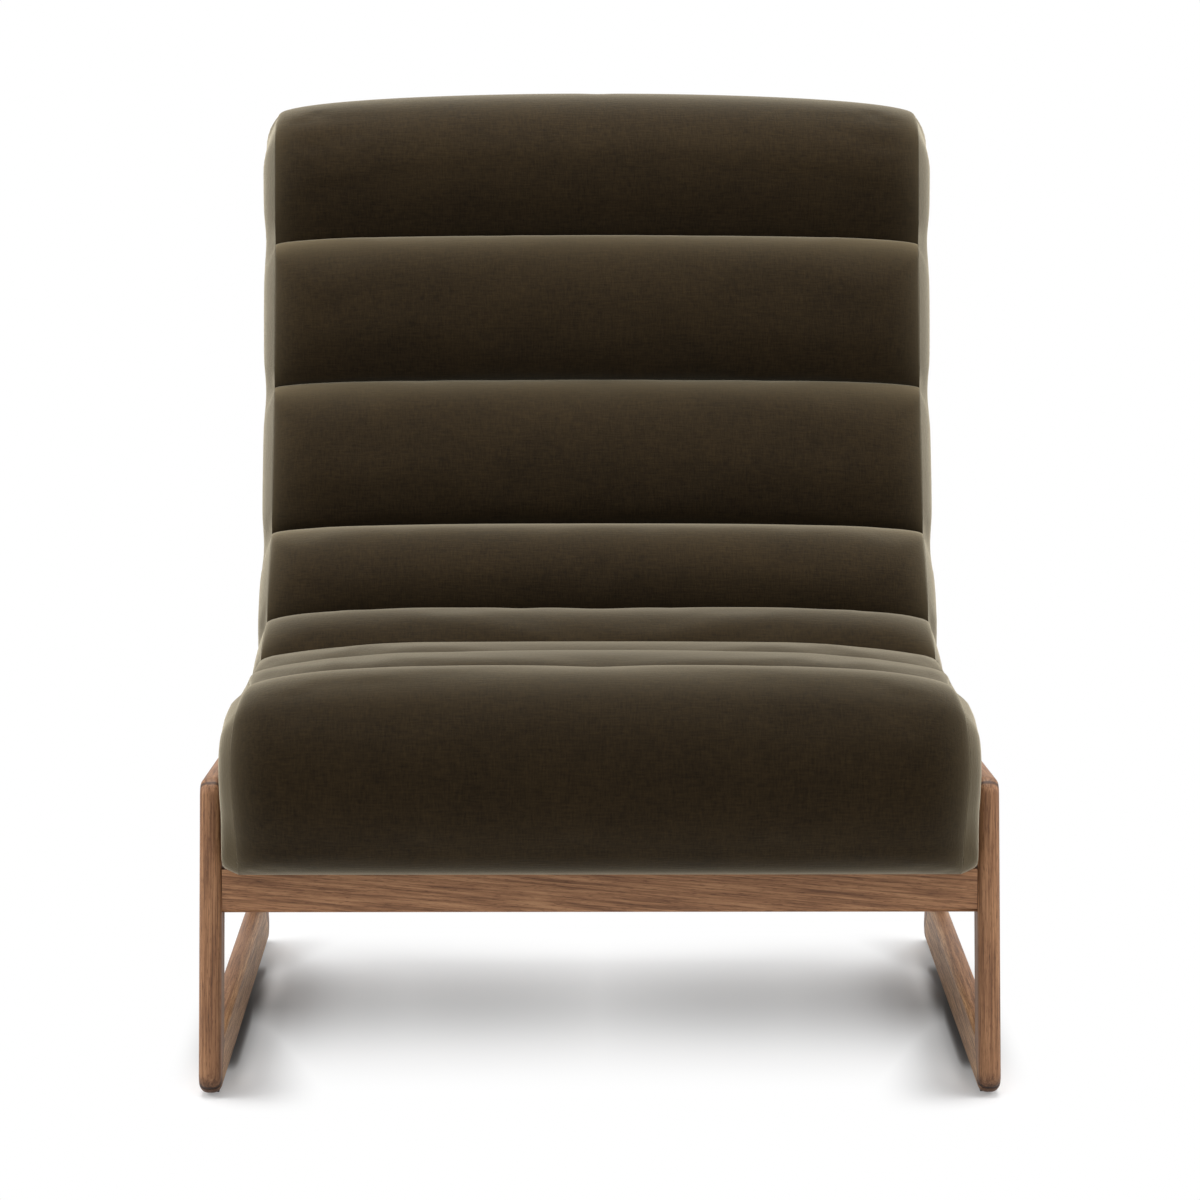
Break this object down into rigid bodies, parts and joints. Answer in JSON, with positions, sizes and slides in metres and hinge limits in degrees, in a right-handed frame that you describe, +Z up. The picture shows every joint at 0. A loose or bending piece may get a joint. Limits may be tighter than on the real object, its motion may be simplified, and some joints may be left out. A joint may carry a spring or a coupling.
{
  "type": "upholstered lounge chair",
  "caption": "Armless lounge chair: a one-piece channel-tufted velvet seat and back lying in two sled-shaped timber side frames.",
  "frame": {"origin": "centre of the overall box in plan, on the floor", "axes": "+Z up, front of the seat towards -Y, +X to the right seen from the front"},
  "size_m": [0.76, 0.8614, 0.925],
  "materials": {
    "stained_ash": "walnut-stained open-grain ash, satin",
    "beech_keys": "raw beech",
    "frame_plywood": "raw birch plywood",
    "elastic_webbing": "woven elastic webbing",
    "seat_foam": "cut foam",
    "olive_velvet": "dark olive-brown velvet",
    "bottom_lining": "black woven lining on board",
    "zinc_steel": "zinc plated",
    "glide_nylon": "dark nylon"
  },
  "bodies": {
    "root": {"left_front_leg": "stained_ash", "right_front_leg": "stained_ash", "left_rear_leg": "stained_ash", "right_rear_leg": "stained_ash", "left_top_rail": "stained_ash", "right_top_rail": "stained_ash", "left_runner": "stained_ash", "right_runner": "stained_ash", "front_rail": "stained_ash", "rear_rail": "stained_ash", "mitre_splines": "beech_keys", "rail_tenons": "beech_keys", "left_cheek": "frame_plywood", "right_cheek": "frame_plywood", "front_stretcher": "frame_plywood", "seat_rear_stretcher": "frame_plywood", "bend_stretcher": "frame_plywood", "lumbar_stretcher": "frame_plywood", "mid_back_stretcher": "frame_plywood", "top_stretcher": "frame_plywood", "front_rail_bearer": "frame_plywood", "rear_rail_bearer": "frame_plywood", "corner_blocks": "frame_plywood", "seat_webbing": "elastic_webbing", "back_webbing": "elastic_webbing", "base_foam": "seat_foam", "channel_1_top": "olive_velvet", "channel_2": "olive_velvet", "channel_3": "olive_velvet", "channel_4": "olive_velvet", "channel_5": "olive_velvet", "channel_6": "olive_velvet", "channel_7": "olive_velvet", "channel_8_front": "olive_velvet", "left_side_pad": "olive_velvet", "right_side_pad": "olive_velvet", "outer_back_panel": "olive_velvet", "bottom_panel": "bottom_lining", "shell_screws": "zinc_steel", "floor_glides": "glide_nylon"}
  },
  "joints": []
}
